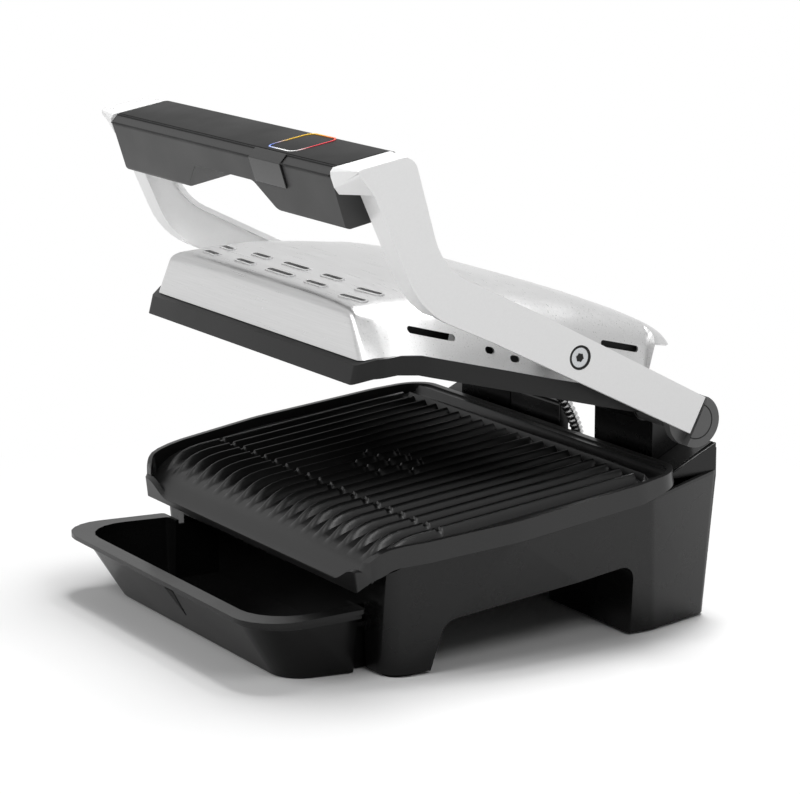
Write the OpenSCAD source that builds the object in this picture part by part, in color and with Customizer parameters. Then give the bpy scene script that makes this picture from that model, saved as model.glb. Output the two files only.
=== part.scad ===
// Electric indoor grill with a floating lid, a pull-out drip tray and ribbed plates.
// Millimetres, +Z up, +Y towards the hinge. The origin is on the floor, at the middle of the
// footprint. The lid is drawn half open; its closed pose is one end of the hinge's travel.

/* [Overall] */
// Width across the outer faces of the two arms
width = 370; // [308:1:444]
// Depth of the lower plate, front edge to rear edge
plate_depth = 250; // [208:1:300]
// Height of the cooking surface above the floor, at its front edge
plate_front_z = 89; // [84:1:107]
// Depth of the rear block behind the plate
rear_block = 43; // [40:1:52]

/* [Plates] */
// Slope of the lower plate, rear edge high
plate_tilt = 6.6; // [5:0.1:8]
// Thickness of the cast plates under the ribs
plate_t = 4; // [3:0.5:6]
// Depth of the grooves between the ribs
rib_h = 6; // [4:0.5:7]
// Width of one rib
rib_w = 6; // [4:0.5:8]
// Number of ribs on each plate
rib_count = 20; // [12:1:24]
// Width of the raised bead round the lower plate
bead_w = 4; // [3.5:0.5:5]
// Height of the plate's outer wall
rim_h = 14; // [12:0.5:16]

/* [Base] */
// Wall of the base mouldings
base_wall = 3; // [2.5:0.5:4]
// Height of the belly above the floor
belly_z = 46; // [42:1:50]
// Thickness of the rubber feet
foot_t = 2; // [1.5:0.5:3]

/* [Drip tray] */
// Height of the tray's rim
tray_h = 47; // [40:1:52]
// Wall of the tray
tray_wall = 2.5; // [2:0.5:3.5]
// Reach of the tray in front of the plate
tray_reach = 70; // [60:1:90]
// Running clearance of the tray between the legs
tray_clear = 0.5; // [0.4:0.1:1]
// Width of the rails that carry the tray
rail_w = 4; // [3:0.5:6]
// Height of the rails' top above the floor
rail_z = 30; // [24:1:32]

/* [Arms and hinge] */
// Thickness of an arm
arm_t = 7; // [6:0.5:9]
// Tilt of the arms as drawn, front end high
arm_tilt = 27.4; // [20:0.1:35]
// Diameter of the hinge pins
hinge_d = 10; // [8:0.5:12]
// Radial clearance of every turning fit
fit = 0.05; // [0.03:0.01:0.1]
// Radius of the grey hinge caps
cap_r = 18; // [17:0.5:20]

/* [Lid] */
// Tilt of the lid as drawn, front end high
lid_tilt = 14.2; // [5:0.1:20]
// Height of the dark frame round the lid
band_h = 13; // [11:0.5:15]
// Wall of the dark lid frame
band_wall = 3; // [2:0.5:4]
// Sheet thickness of the silver lid shell
shell_t = 1.5; // [1:0.25:2.5]
// Diameter of the two lid pivots
pivot_d = 8; // [6:0.5:9]

/* [Handle] */
// Depth of the handle, front to rear
handle_d = 43; // [38:1:48]
// Height of the handle at its deep ends
handle_h = 42; // [36:1:46]
// Height of the handle over the finger gap
grip_h = 23; // [18:1:28]

/* [Conduit] */
// Outside diameter of the ribbed cable tube
conduit_d = 9; // [7:0.5:11]
// Bore of the ribbed cable tube
conduit_bore = 6; // [4:0.5:7]
// Number of ribs along the tube
conduit_ribs = 30; // [12:1:40]

/* [Hidden] */
$fn = 48;

// --- the frame: where the main lines lie, measured from the plate's front edge ---
back_y = plate_depth + rear_block;
mid_y = (back_y - tray_reach) / 2;
slope = tan(plate_tilt);
half = width / 2;
plate_half = half - 0.4;
handle_half = half - 27;
lid_half = half - 20;
arm_in = half - arm_t;
gap = 0.4;
release_y = plate_depth * 0.6;
release_z = plate_front_z + release_y * slope - rim_h - 9.4;
release_seat = half - 26;

// hinge axis, tied to the plate's plane
hinge_y = plate_depth - 0.5;
hinge_over_plate = 34.6;
hinge_z = plate_front_z + hinge_y * slope + hinge_over_plate;

// lid pivot, along and above the arm's straight part
pivot_s = 109.4;
pivot_t = 3.5;
pivot_y = hinge_y - pivot_s * cos(arm_tilt) + pivot_t * sin(arm_tilt);
pivot_z = hinge_z + pivot_s * sin(arm_tilt) + pivot_t * cos(arm_tilt);

// rear block and legs
block_y = plate_depth - 33;
leg_y = 23;
leg_in = half - 54;
leg_out = half - 24;
floor_half_rear = half - 31;
spout_half = half - 48;
deck_front_z = plate_front_z + hinge_y * slope - 10.5;
deck_rise = 21;

belly_y = leg_y + 38;
belly_slope = 17 / (block_y - 4 - belly_y);
function belly(y) = belly_z - 9 + (y - belly_y) * belly_slope;
cover_t = 2;
tower_x = [[-125, -57], [-56.2, 9.5], [54, 125]];
bracket_t = 8;
// floor of the well that the cable tube drops into, between the towers
well_z = deck_front_z - 10;
tower_front = plate_depth + 5;
tower_back = back_y - 8;

// the lid's own lines: u runs to the rear, w up, from the pivot
lid_front = pivot_s - hinge_y - 3.7;
lid_seat = -31;
lid_back = 78;
shell_back = 112;
shell_over = 16;
ledge_t = 1.2;
lid_corner = 6;
latch_y = -60;
conduit_x = 14;
conduit_w = lid_seat + band_h / 2 + 0.4;

// --- helpers ---
module in_base() translate([0, -mid_y, 0]) children();
module in_plate() translate([0, -mid_y, plate_front_z]) rotate([plate_tilt, 0, 0]) children();
module in_arm() translate([0, hinge_y - mid_y, hinge_z]) rotate([-arm_tilt, 0, 0]) children();
module in_lid() translate([0, pivot_y - mid_y, pivot_z]) rotate([-lid_tilt, 0, 0]) children();
module along_x(x0, x1) translate([x0, 0, 0]) rotate([90, 0, 90]) linear_extrude(x1 - x0) children();
module both_sides() {
    children();
    mirror([1, 0, 0]) children();
}
module rod_x(x0, x1, d) translate([x0, 0, 0]) rotate([0, 90, 0]) cylinder(h = x1 - x0, d = d);

function unit(v) = v / norm(v);
// the arc that rounds corner b, between its neighbours a and c, with radius r
function corner(a, b, c, r, n) =
    r <= 0 ? [b] :
    let (u = unit(a - b), v = unit(c - b), h = acos(u * v) / 2,
         centre = b + unit(u + v) * (r / sin(h)), p = b + u * (r / tan(h)) - centre,
         q = b + v * (r / tan(h)) - centre, side = cross(p, q) > 0 ? 1 : -1)
    [for (i = [0:n]) let (t = side * (180 - 2 * h) * i / n)
        centre + [p.x * cos(t) - p.y * sin(t), p.x * sin(t) + p.y * cos(t)]];
// an outline of [x, y, radius] corners
function rounded(p, n = 6) = let (m = len(p)) [for (i = [0:m - 1])
    let (a = p[(i + m - 1) % m], b = p[i], c = p[(i + 1) % m])
    each corner([a.x, a.y], [b.x, b.y], [c.x, c.y], b[2], n)];
// a right-hand half outline, closed by its mirror image
function mirrored(p) = concat(p, [for (i = [len(p) - 1:-1:0]) [-p[i].x, p[i].y, p[i][2]]]);
function box_outline(x0, y0, x1, y1, r) = [[x0, y0, r], [x1, y0, r], [x1, y1, r], [x0, y1, r]];

// --- the base ---
// plan of the base at the floor and under the plate
function floor_plan(i) = rounded(mirrored([
    [leg_out - i, leg_y + i, 16], [floor_half_rear - i, block_y + 20, 30],
    [floor_half_rear - 16 - i, back_y - i, 8]]));
function belt_plan(i) = rounded(mirrored([
    [leg_out + 4 - i, leg_y - 4 + i, 14], [plate_half - 3 - i, plate_depth * 0.42, 60],
    [plate_half - 12 - i, block_y + 6, 26], [floor_half_rear - 2 - i, back_y - i, 10]]));
module base_mass(i) {
    hull() {
        translate([0, 0, foot_t]) linear_extrude(0.5) polygon(floor_plan(i));
        translate([0, 0, plate_front_z]) rotate([plate_tilt, 0, 0]) translate([0, 0, -rim_h - gap - 2])
            linear_extrude(2 + i) polygon(belt_plan(i));
    }
    hull() {
        translate([0, 0, foot_t]) linear_extrude(0.5) intersection() {
            polygon(floor_plan(i));
            translate([-half, block_y + 36 + i]) square([width, rear_block * 2]);
        }
        along_x(i - floor_half_rear + 2, floor_half_rear - 2 - i)
            polygon([[plate_depth + 4 + i, deck_front_z - 4], [back_y - 3 - i, deck_front_z - 4],
                [back_y - 3 - i, deck_front_z + deck_rise - 5 - i],
                [plate_depth + 4 + i, deck_front_z + 3 - i]]);
    }
}
module side_arch()
    along_x(-half, half) polygon(rounded([
        [leg_y + 32, -1, 0], [belly_y, belly(belly_y), 12], [block_y - 4, belly(block_y - 4), 11],
        [block_y + 1, -1, 0]]));
module tower_pockets() for (i = [0:2])
    translate([tower_x[i][0] - gap, tower_front - gap, deck_front_z - 22 - gap]) cube([
        tower_x[i][1] - tower_x[i][0] + 2 * gap,
        (i == 1 ? bracket_t : tower_back - tower_front) + 2 * gap, 200]);
module cable_well(i) translate([tower_x[0][1] - i, tower_front - gap - i, well_z - i])
    cube([tower_x[2][0] - tower_x[0][1] + 2 * i, 60, 100]);
module cable_socket() difference() {
    translate([conduit_end.x, conduit_end.y, well_z - 0.5]) cylinder(h = 8, d = conduit_d + 5);
    translate([conduit_end.x, conduit_end.y, conduit_end.z - 0.3]) cylinder(h = 30, d = conduit_d + 0.6);
}
module base_housing() color("#262626") in_base() {
    base_shell();
    cable_socket();
}
module base_shell() difference() {
    base_mass(0);
    // room for the heater, the board and the wiring
    intersection() {
        base_mass(base_wall);
        along_x(-half, half) polygon([
            [leg_y + 30, belly(belly_y) + 6], [belly_y + 10, belly(belly_y + 10) + 4],
            [block_y - 4, belly(block_y - 4) + 4], [block_y + 23, belly(block_y)], [block_y + 24, foot_t + 6],
            [back_y, foot_t + 6], [back_y, 200], [leg_y + 30, 200]]);
        // the release button keeps its guide
        difference() {
            translate([-half, -20, 0]) cube([width, back_y + 40, 200]);
            cable_well(base_wall);
            translate([-half, release_y - 11, release_z - 11]) cube([half - release_seat + 4, 22, 22]);
        }
    }
    side_arch();
    tower_pockets();
    cable_well(0);
    // bay for the drip tray between the front legs, with a rail along each leg
    difference() {
        translate([-leg_in, 0, -1]) cube([2 * leg_in, leg_y + 33, tray_h + 3]);
        both_sides() translate([leg_in - rail_w, leg_y + 2, rail_z - 4]) cube([rail_w + 1, 40, 4]);
    }
    // the plate's seat
    translate([0, 0, plate_front_z]) rotate([plate_tilt, 0, 0]) along_x(-half, half) polygon([
        [-20, -45], [0, -30], [12, -rim_h - 10], [26, -rim_h - 2.5], [30, -rim_h - gap],
        [plate_depth + 3, -rim_h - gap], [plate_depth + 3, 80], [-20, 80]]);
    // recess between the rear legs
    translate([-55, block_y - 6, -1]) cube([110, 26, belly_z]);
    // opening of the belly, closed by the bottom cover
    translate([-110, belly_y + 12, 20]) cube([220, block_y - belly_y - 36, belly_z]);
    // cord inlet
    translate([0, back_y + 5, 30]) rotate([90, 0, 0]) cylinder(h = 20, d = 14);
    // release button bore, on the left side
    translate([-half, release_y, release_z]) rod_x(0, half - release_seat, 16);
    translate([-half, release_y, release_z]) rod_x(0, 40, 9);
    screw_places() translate([0, 0, -1]) cylinder(h = 4.8, d = 3);
}
module screw_places()
    for (x = [-117, 117], y = [belly_y + 20, (belly_y + block_y) / 2 - 4, block_y - 30])
        translate([x, y, belly(y)]) children();
module bottom_cover() color("#2b2b2b") in_base() difference() {
    along_x(-124, 124) polygon([
        [belly_y + 13, belly(belly_y + 13)], [belly_y + 13, belly(belly_y + 13) - cover_t],
        [block_y - 18, belly(block_y - 18) - cover_t], [block_y - 18, belly(block_y - 18)]]);
    screw_places() translate([0, 0, -8]) cylinder(h = 20, d = 3.4);
}
module cover_screws() color("#9a9a9a") in_base() screw_places() {
    translate([0, 0, -cover_t - 2.6]) cylinder(h = 2.2, d = 6);
    translate([0, 0, -cover_t - 0.5]) cylinder(h = cover_t + 3.8, d = 2.9);
}
module deck_cover() color("#1c1c1c") in_base() difference() {
    along_x(4 - floor_half_rear, floor_half_rear - 4) polygon(rounded([
        [plate_depth + 6, deck_front_z + 4.4, 0], [back_y - 4, deck_front_z + deck_rise - 4.6, 0],
        [back_y - 4, deck_front_z + deck_rise, 1.5], [plate_depth + 9, deck_front_z + 5.6, 2]]));
    tower_pockets();
    cable_well(0);
}
module rubber_feet() color("#101010") in_base() both_sides() {
    linear_extrude(foot_t) polygon(rounded(box_outline(leg_in + 3, leg_y + 4, leg_out - 5, leg_y + 26, 6)));
    linear_extrude(foot_t) polygon(rounded(box_outline(66, block_y + 26, floor_half_rear - 24, back_y - 8, 6)));
}

// hinge towers, behind the plate; the knuckle holds the pin
knuckle_r = hinge_d / 2 + 6;
module tower(x0, x1) difference() {
    union() {
        along_x(x0, x1) polygon([
            [tower_front, deck_front_z - 22], [tower_back, deck_front_z - 22],
            [tower_back, deck_front_z + 22], [hinge_y + 12, hinge_z + 6], [hinge_y, hinge_z],
            [tower_front, hinge_z - 14]]);
        translate([0, hinge_y, hinge_z]) rod_x(x0, x1, 2 * knuckle_r);
    }
    translate([0, hinge_y, hinge_z]) rod_x(x0 - 1, x1 + 1, hinge_d + 2 * fit);
}
module hinge_tower_right() color("#1a1a1a") in_base() tower(tower_x[2][0], tower_x[2][1]);
module hinge_tower_left() color("#1a1a1a") in_base() tower(tower_x[0][0], tower_x[0][1]);
module cable_block() color("#333333") in_base() along_x(tower_x[1][0], tower_x[1][1])
    polygon(rounded([
        [tower_front, deck_front_z - 22, 0], [tower_front + bracket_t, deck_front_z - 22, 0],
        [tower_front + bracket_t, deck_front_z + 26, 3], [tower_front, deck_front_z + 25, 3]]));

// --- the lower plate, in its own tilted frame ---
function plate_plan(i) = rounded(mirrored([
    [half - 32 - i, i, 4], [half - 19 - i, 10 + i, 12], [plate_half - 9 - i, 42, 40],
    [plate_half - i, 110, 90], [plate_half - 4 - i, plate_depth - 40, 60],
    [plate_half - 12 - i, plate_depth - i, 26]]));
// height of the rim's top along the plate, falling at the front
rim_curve = [[-2, -15], [bead_w + 0.2, -14.2], [bead_w + 2, -8], [10, -4], [18, -1], [30, 0]];
// height of the plate's floor: grooves, then the ramp and the spout's lip
ramp_curve = [[37, -rib_h - 1], [28, -rib_h - 2.5], [20, -rib_h - 5.5], [11, -rib_h - 10.5],
    [2, -24], [0, -25]];
// ribs run from the ramp to the rear groove
plate_under = -rib_h - 1 - plate_t;
rib_front = 30;
rib_back = plate_depth - 24;
rib_half = half - 29;
rib_pitch = (2 * rib_half - rib_w) / (rib_count - 1);
module rib_row(tip, root)
    for (i = [0:rib_count - 1])
        translate([-rib_half + rib_w / 2 + i * rib_pitch, 0, 0]) rotate([-90, 0, 0])
            linear_extrude(400) polygon([[-rib_w / 2, -root], [rib_w / 2, -root],
                [rib_w / 4, -tip], [-rib_w / 4, -tip]]);
module lower_plate() color("#1e1e1e") in_plate() {
    // outer wall with its bead
    intersection() {
        translate([0, 0, -40]) linear_extrude(60) difference() {
            polygon(plate_plan(0));
            polygon(plate_plan(bead_w));
            translate([-spout_half, -5]) square([2 * spout_half, 14]);
        }
        along_x(-half, half) polygon(concat(rim_curve,
            [[plate_depth + 5, 0], [plate_depth + 5, -rim_h + 5], [plate_depth - 40, -rim_h],
             [22, -rim_h], [8, -rim_h - 6], [-2, -29]]));
    }
    // floor, ramp and spout
    intersection() {
        translate([0, 0, -40]) linear_extrude(60) polygon(plate_plan(bead_w - 0.5));
        along_x(-half, half) polygon(concat(
            [[plate_depth, -rib_h - 1]], ramp_curve,
            [[0, -25 - plate_t], [11, -rib_h - 11 - plate_t], [22, -rib_h - 6 - plate_t],
             [36, plate_under], [plate_depth, plate_under]]));
    }
    // ribs, with their front ends falling along the ramp
    intersection() {
        rib_row(0, -rib_h - 2);
        along_x(-half, half) polygon([[rib_back, -rib_h - 3], [rib_back, -2], [rib_back - 3, 0],
            [rib_front + 6, 0], [rib_front - 1, -3], [rib_front - 8, -8],
            [rib_front - 12, -rib_h - 6]]);
    }
    // the transverse step behind the ribs
    translate([-rib_half, rib_back + 4, -rib_h - 2]) cube([2 * rib_half, 4, rib_h + 0.5]);
}
element_d = 7;
module heater_loop(x, y0, y1, z) translate([0, 0, z]) {
    for (s = [-1, 1]) translate([s * x, y0 + 30, 0]) rotate([-90, 0, 0])
        cylinder(h = y1 - y0 - 30, d = element_d);
    for (s = [-1, 1]) translate([s * (x - 30), y0 + 30, 0]) rotate([0, 0, s > 0 ? -90 : 180])
        rotate_extrude(angle = 90) translate([30, 0]) circle(d = element_d);
    translate([0, y0, 0]) rod_x(30 - x, x - 30, element_d);
}
heater_x = half - 75;
heater_z = plate_under - element_d / 2 - 0.3;
module lower_heater() color("#8c8c8c") in_plate() heater_loop(heater_x, 72, rib_back - 22, heater_z);
module heat_tray(z, h) translate([0, 0, z]) difference() {
    linear_extrude(h) polygon(rounded(box_outline(-heater_x - 16, 58, heater_x + 16, rib_back - 12, 12)));
    translate([0, 0, 1]) linear_extrude(h) polygon(rounded(box_outline(
        -heater_x - 15, 59, heater_x + 15, rib_back - 13, 11)));
}
module lower_reflector() color("#b8b8b8") in_plate() heat_tray(plate_under - 9.8, 9.4);
module plate_sensor() color("#c0a060") in_plate() translate([0, 130, plate_under - 8.8 + 0.2]) {
    cylinder(h = 8.3, d = 10);
    translate([-9, -5, 0]) cube([18, 10, 1.5]);
}
module control_pcb() color("#2f5a3a") in_base()
    translate([-60, belly_y + 35, belly(belly_y + 35)]) rotate([atan(belly_slope), 0, 0]) {
        translate([0, 0, 8]) difference() {
            cube([120, 70, 1.6]);
            for (x = [6, 114], y = [6, 64]) translate([x, y, -1]) cylinder(h = 4, d = 3.4);
        }
        translate([20, 15, 9.6]) cube([22, 18, 7]);
        translate([60, 30, 9.6]) cylinder(h = 8, d = 12);
        for (x = [6, 114], y = [6, 64]) translate([x, y, 0.2]) cylinder(h = 10, d = 3.2);
    }
module terminal_block() color("#d8d4c4") in_base() translate([20, block_y + 44, foot_t + 6.2]) {
    difference() {
        cube([36, 16, 18]);
        for (x = [7, 18, 29]) translate([x, 8, 8]) cylinder(h = 12, d = 5);
    }
}
module cord_gland() color("#161616") in_base() translate([0, back_y, 30]) rotate([90, 0, 0]) difference() {
    union() {
        cylinder(h = 10.5, d = 13.9);
        translate([0, 0, base_wall + 1]) cylinder(h = 3, d = 20);
    }
    translate([0, 0, -2]) cylinder(h = 16, d = 7.4);
}
module lower_release() color("#3a3a3a") in_base() translate([0, release_y, release_z]) {
    rod_x(-release_seat - 25, -release_seat - 11.4, 15.2);
    rod_x(-release_seat - 11.5, -release_seat - 0.5, 8);
}
module lower_latch_spring() color("#b0b0b0") in_base() translate([-release_seat - 11.2, release_y, release_z])
    rotate([0, 90, 0]) difference() {
        cylinder(h = 11, d = 13);
        translate([0, 0, -1]) cylinder(h = 14, d = 9.4);
    }

// --- the drip tray ---
function tray_plan(i, y1) = rounded(mirrored([
    [leg_in + 24 - i, i - tray_reach, 32], [leg_in + 17 - i, y1, 3]]));
tongue_half = leg_in - rail_w - tray_clear;
module tray_mass(i) {
    hull() {
        translate([0, 0, 0.8 + i]) linear_extrude(1) polygon(rounded(mirrored([
            [tongue_half + 1 - i, i - tray_reach + 34, 22], [tongue_half + 8 - i, leg_y - 10 - i, 3]])));
        translate([0, 0, tray_h - 8]) linear_extrude(i > 0 ? 20 : 1)
            polygon(tray_plan(10 + i, leg_y - 9 - i));
    }
    translate([i - tongue_half, 0, 0.8 + i])
        cube([2 * (tongue_half - i), leg_y + 26 - i, tray_h - 4 + (i > 0 ? 20 : 0)]);
}
module drip_tray() color("#2c2c2c") in_base() difference() {
    union() {
        tray_mass(0);
        translate([0, 0, tray_h - 8]) linear_extrude(8) polygon(tray_plan(0, leg_y - 9));
        // runners that rest on the rails
        both_sides() translate([tongue_half - 1, leg_y - 10, rail_z + 0.3])
            cube([rail_w + 1, 36, 3]);
    }
    tray_mass(tray_wall);
    // undercut of the rim
    translate([0, 0, tray_h - 12]) linear_extrude(9) difference() {
        polygon(tray_plan(-4, leg_y - 9));
        polygon(tray_plan(8, leg_y + 20));
    }
    // finger mark in the front wall
    translate([0, 32 - tray_reach - 10, tray_h - 12]) rotate([55, 0, 0]) cylinder(h = 9, d = 12, $fn = 3);
}

// --- the arms: s runs forward along the bar, t up, both from the hinge axis ---
elbow = hinge_y - 5;
handle_tilt = 37.5;
module at_handle() translate([0, -(elbow + 74.8), 46.3]) rotate([handle_tilt, 0, 0]) children();
function arm_line(s, t, r) = [-(elbow + s), t, r];
arm_outline = rounded([
    [0, -9.5, 0], arm_line(-70, -12.5, 60), arm_line(-9, -15.5, 60), arm_line(57, 37, 20),
    arm_line(76.4, 45.1, 3), arm_line(42.3, 71.3, 10), arm_line(-10.4, 15.5, 45), [-142, 17.4, 0],
    [0, 17, 0]]);
// ends of the block that hugs the handle, in the handle's frame: by the handle, and at the outside
arm_block_inner = [[-2, -18], [40, -18], [handle_d - 2, -3], [handle_d - 4, -0.2], [-3, -0.2],
    [-5.4, -2.4], [-5.7, -6], [-4.5, -13]];
arm_block_outer = [[8.5, -18], [40, -18], [39, -5], [36, -0.4], [0, -0.4], [1.9, -5.2], [5.6, -12]];
flange_in = lid_half + 1;
module arm() difference() {
    union() {
        along_x(arm_in, half) polygon(arm_outline);
        at_handle() hull() {
            along_x(handle_half + 0.3, handle_half + 1.3) polygon(arm_block_inner);
            along_x(half - 1, half) polygon(arm_block_outer);
        }
        // front flange of the neck
        intersection() {
            along_x(flange_in, arm_in + 1) difference() {
                polygon(arm_outline);
                translate([1.6, 2]) polygon(arm_outline);
            }
            translate([-half, -400, -30]) cube([width, 400 - elbow + 22, 200]);
        }
    }
    // hollow inner side, leaving the rolled edge
    along_x(arm_in - 1, half - 2.5) polygon(rounded([
        [-cap_r - 22, -6.5, 2], arm_line(-70, -9.5, 50), arm_line(-9.5, -12.2, 50),
        arm_line(51.6, 36.4, 4), arm_line(29.3, 53.5, 4), arm_line(-9.1, 12.5, 45), [-142, 13.5, 0],
        [-cap_r - 22, 13.5, 2]]));
    along_x(half - 3, half + 1) polygon([[-2, -30], [30, -30], [30, 40], [-2, 40]]);
    rod_x(arm_in - 1, half - 2.4, hinge_d + 0.04);
    translate([0, -pivot_s, pivot_t]) rod_x(arm_in - 2, half + 1, pivot_d + 2 * fit);
    translate([0, -pivot_s, pivot_t]) rod_x(half - 2, half + 1, 2 * pivot_d - 2);
}
// the bar keeps a solid boss round the lid pivot
module arm_whole() {
    arm();
    difference() {
        translate([0, -pivot_s, pivot_t]) rod_x(arm_in, half - 2.4, 22);
        translate([0, -pivot_s, pivot_t]) rod_x(arm_in - 2, half, pivot_d + 2 * fit);
    }
}
module arm_right() color("#d9d9d9") in_arm() arm_whole();
module arm_left() color("#d9d9d9") in_arm() mirror([1, 0, 0]) arm_whole();
module hinge_pins() color("#a8a8a8") in_arm() {
    rod_x(tower_x[2][0] + 2, half - 2.6, hinge_d);
    rod_x(2.6 - half, tower_x[0][1] - 2, hinge_d);
}
module hinge_caps() color("#6f6f6f") in_arm() both_sides() difference() {
    union() {
        rod_x(arm_in - 7, arm_in - gap, 2 * cap_r);
        intersection() {
            rod_x(arm_in - 1, half - 0.4, 2 * cap_r);
            along_x(arm_in - 2, half) polygon([[gap, -40], [40, -40], [40, 40], [gap, 40]]);
        }
        rod_x(tower_x[2][1] + 1, arm_in - 6, 2 * knuckle_r - 2);
    }
    rod_x(100, half - 2.5, hinge_d + 0.04);
}
module hinge_washers() color("#8a8a8a") in_arm() both_sides() difference() {
    rod_x(tower_x[2][1] + 0.1, tower_x[2][1] + 0.9, 2 * knuckle_r - 3);
    rod_x(tower_x[2][1] - 5, tower_x[2][1] + 5, hinge_d + 0.6);
}

// --- the handle, in the frame of its own top face ---
module in_handle() in_arm() at_handle() children();
handle_side = rounded([
    [-5.5, -5, 2], [-0.6, -handle_h, 4], [handle_d - 3, -handle_h + 1, 8], [handle_d, -5, 2]]);
module handle_housing() color("#4a4a4a") in_handle() difference() {
    // deep at both ends, and shallow between for the hand
    intersection() {
        along_x(-handle_half, handle_half) polygon(handle_side);
        translate([0, 60, 0]) rotate([90, 0, 0]) linear_extrude(80) polygon(rounded([
            [-handle_half - 1, 0, 0], [-handle_half - 1, -handle_h - 1, 0],
            [-63, -handle_h - 1, 3], [-39, -grip_h, 3], [44, -grip_h, 12],
            [72, -handle_h - 1, 12], [handle_half + 1, -handle_h - 1, 0], [handle_half + 1, 0, 0]]));
    }
    translate([-handle_half + 4, 2, -16]) cube([2 * handle_half - 8, handle_d - 8, 12]);
    for (x = [-handle_half + 14, handle_half - 14]) translate([x, handle_d / 2, -handle_h - 1])
        cylinder(h = handle_h - 17, d = 3.4);
}
module handle_cover() color("#2e2e2e") in_handle() along_x(-handle_half + 1, handle_half - 1)
    polygon(rounded([[0, -2.6, 0], [handle_d - 2, -2.6, 0], [handle_d - 2, -0.2, 2], [0.5, 0, 1]]));
module handle_bezel() color("#1f1f1f") in_handle() difference() {
    along_x(-handle_half, handle_half) polygon(rounded([
        [-5.5, -4.8, 0], [handle_d, -4.8, 0], [handle_d, -1, 2], [-0.5, -1, 1]]));
    along_x(-handle_half + 0.8, handle_half - 0.8) polygon([
        [-0.2, -2.8], [handle_d - 1.8, -2.8], [handle_d - 1.8, 3], [-0.2, 3]]);
    along_x(51, 94) polygon([[-8, -8], [-0.3, -8], [-0.3, 3], [-8, 3]]);
}
module display_band() color("#5a5a5a") in_handle() along_x(51.3, 93.7) polygon(rounded([
    [-7.2, -5, 1], [-5, -22, 0.6], [-3.7, -22, 0], [-6.1, -5, 0], [-1, -0.9, 0], [-0.6, 0.2, 0]]));
module display_lens() color("#e0e0e0") in_handle() translate([72, handle_d / 2 - 1, 0]) difference() {
    linear_extrude(0.4) polygon(rounded(box_outline(-17, -14, 17, 14, 7)));
    translate([0, 0, -1]) linear_extrude(3) polygon(rounded(box_outline(-15.5, -12.5, 15.5, 12.5, 6)));
}
module handle_pcb() color("#2f5a3a") in_handle() translate([30, 6, -9]) {
    cube([90, 28, 1.6]);
    translate([30, 6, 1.6]) cube([24, 16, 2]);
    for (x = [8, 82]) translate([x, 14, -6.9]) cylinder(h = 7, d = 5);
}
module handle_screws() color("#9a9a9a") in_handle() both_sides()
    translate([handle_half - 14, handle_d / 2, -handle_h + 2 - 3]) {
        cylinder(h = 3, d = 3.2);
        cylinder(h = 20, d = 3.2);
    }

// --- the lid, u to the rear and w up from its pivots ---
function lid_plan(i, y0, y1, r) = rounded(mirrored([
    [lid_half - 18 - 0.6 * i, y0 + i, r], [lid_half - 6 - i, y0 + 13 + 0.6 * i, r + 9],
    [lid_half - i, y0 + 44, 60], [lid_half - i, y1 - i, 14]]));
// lower edge of the frame: it falls at the front and follows the lower plate's ramp
seat_curve = [[lid_back + 1, lid_seat], [lid_front + 38, lid_seat], [lid_front + 24, lid_seat - 2.5],
    [lid_front + 10, lid_seat - 8], [lid_front, lid_seat - 15], [lid_front - 1, lid_seat - 15.4]];
function raised(p, dz) = [for (q = p) [q.x, q.y + dz]];
function turned(p) = [for (i = [len(p) - 1:-1:0]) p[i]];
module lid_frame() color("#3a3a3a") in_lid() difference() {
    intersection() {
        translate([0, 0, -60]) linear_extrude(60) polygon(lid_plan(0, lid_front, lid_back, lid_corner));
        along_x(-half, half) polygon(concat(seat_curve, turned(raised(seat_curve, band_h))));
    }
    intersection() {
        translate([0, 0, -60]) linear_extrude(80)
            polygon(lid_plan(band_wall, lid_front, lid_back, lid_corner - band_wall));
        // a ledge stays at the top to carry the shell
        along_x(-half, half)
            polygon(concat(raised(seat_curve, -1), turned(raised(seat_curve, band_h - ledge_t))));
    }
    translate([0, 0, -60]) linear_extrude(80) polygon(lid_plan(band_wall + 6, lid_front, lid_back, 1));
    // conduit passage at the rear
    translate([conduit_x, lid_back - 8, conduit_w]) rotate([-90, 0, 0]) cylinder(h = 20, d = conduit_d + 0.6);
    translate([-lid_half, latch_y, lid_seat + 6.5]) rod_x(-5, 10, 8);
}
module shell_mass(i) difference() {
    shell_hull(i);
    // it stands on the frame and its rear overhangs the hinge
    along_x(-half, half) polygon(concat(
        [[lid_back + 60, shell_over + i], [lid_back + 1 - i, shell_over + i],
         [lid_back + 1 - i, lid_seat + band_h + 0.2]],
        raised(seat_curve, band_h + 0.2), [[lid_front - 9, -80], [lid_back + 60, -80]]));
}
module shell_hull(i) hull() {
    intersection() {
        translate([0, 0, -40]) linear_extrude(45) polygon(lid_plan(2.5 + i, lid_front, lid_back, lid_corner));
        along_x(-half, half) polygon(concat(raised(seat_curve, band_h - i),
            [[lid_front + 5, -26], [lid_back, -10]]));
    }
    translate([0, 0, 5]) linear_extrude(2) polygon(rounded(mirrored([
        [lid_half - 16 - i, lid_front + 2 + i, 18], [lid_half + 4 - i, 20, 60],
        [lid_half - 4 - i, lid_back - 10, 20], [lid_half - 10 - i, lid_back + 8 - i, 14]])));
    translate([0, 0, shell_over - 1]) linear_extrude(5) polygon(rounded(mirrored([
        [lid_half - 8 - i, -30, 50], [lid_half - 6 - i, lid_back + 10, 18],
        [lid_half - 20 - i, shell_back - i, 16]])));
    translate([0, 0, 30 - i]) linear_extrude(1) polygon(rounded(mirrored([
        [lid_half - 46 - i, -70, 30], [lid_half - 22 - i, -10, 30],
        [lid_half - 40 - i, shell_back - 8 - i, 16]])));
    translate([0, 10, 36 - i]) linear_extrude(1) polygon(rounded(box_outline(
        i - 105, -55, 105 - i, 50, 20)));
}
vent_w = 5;
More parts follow.
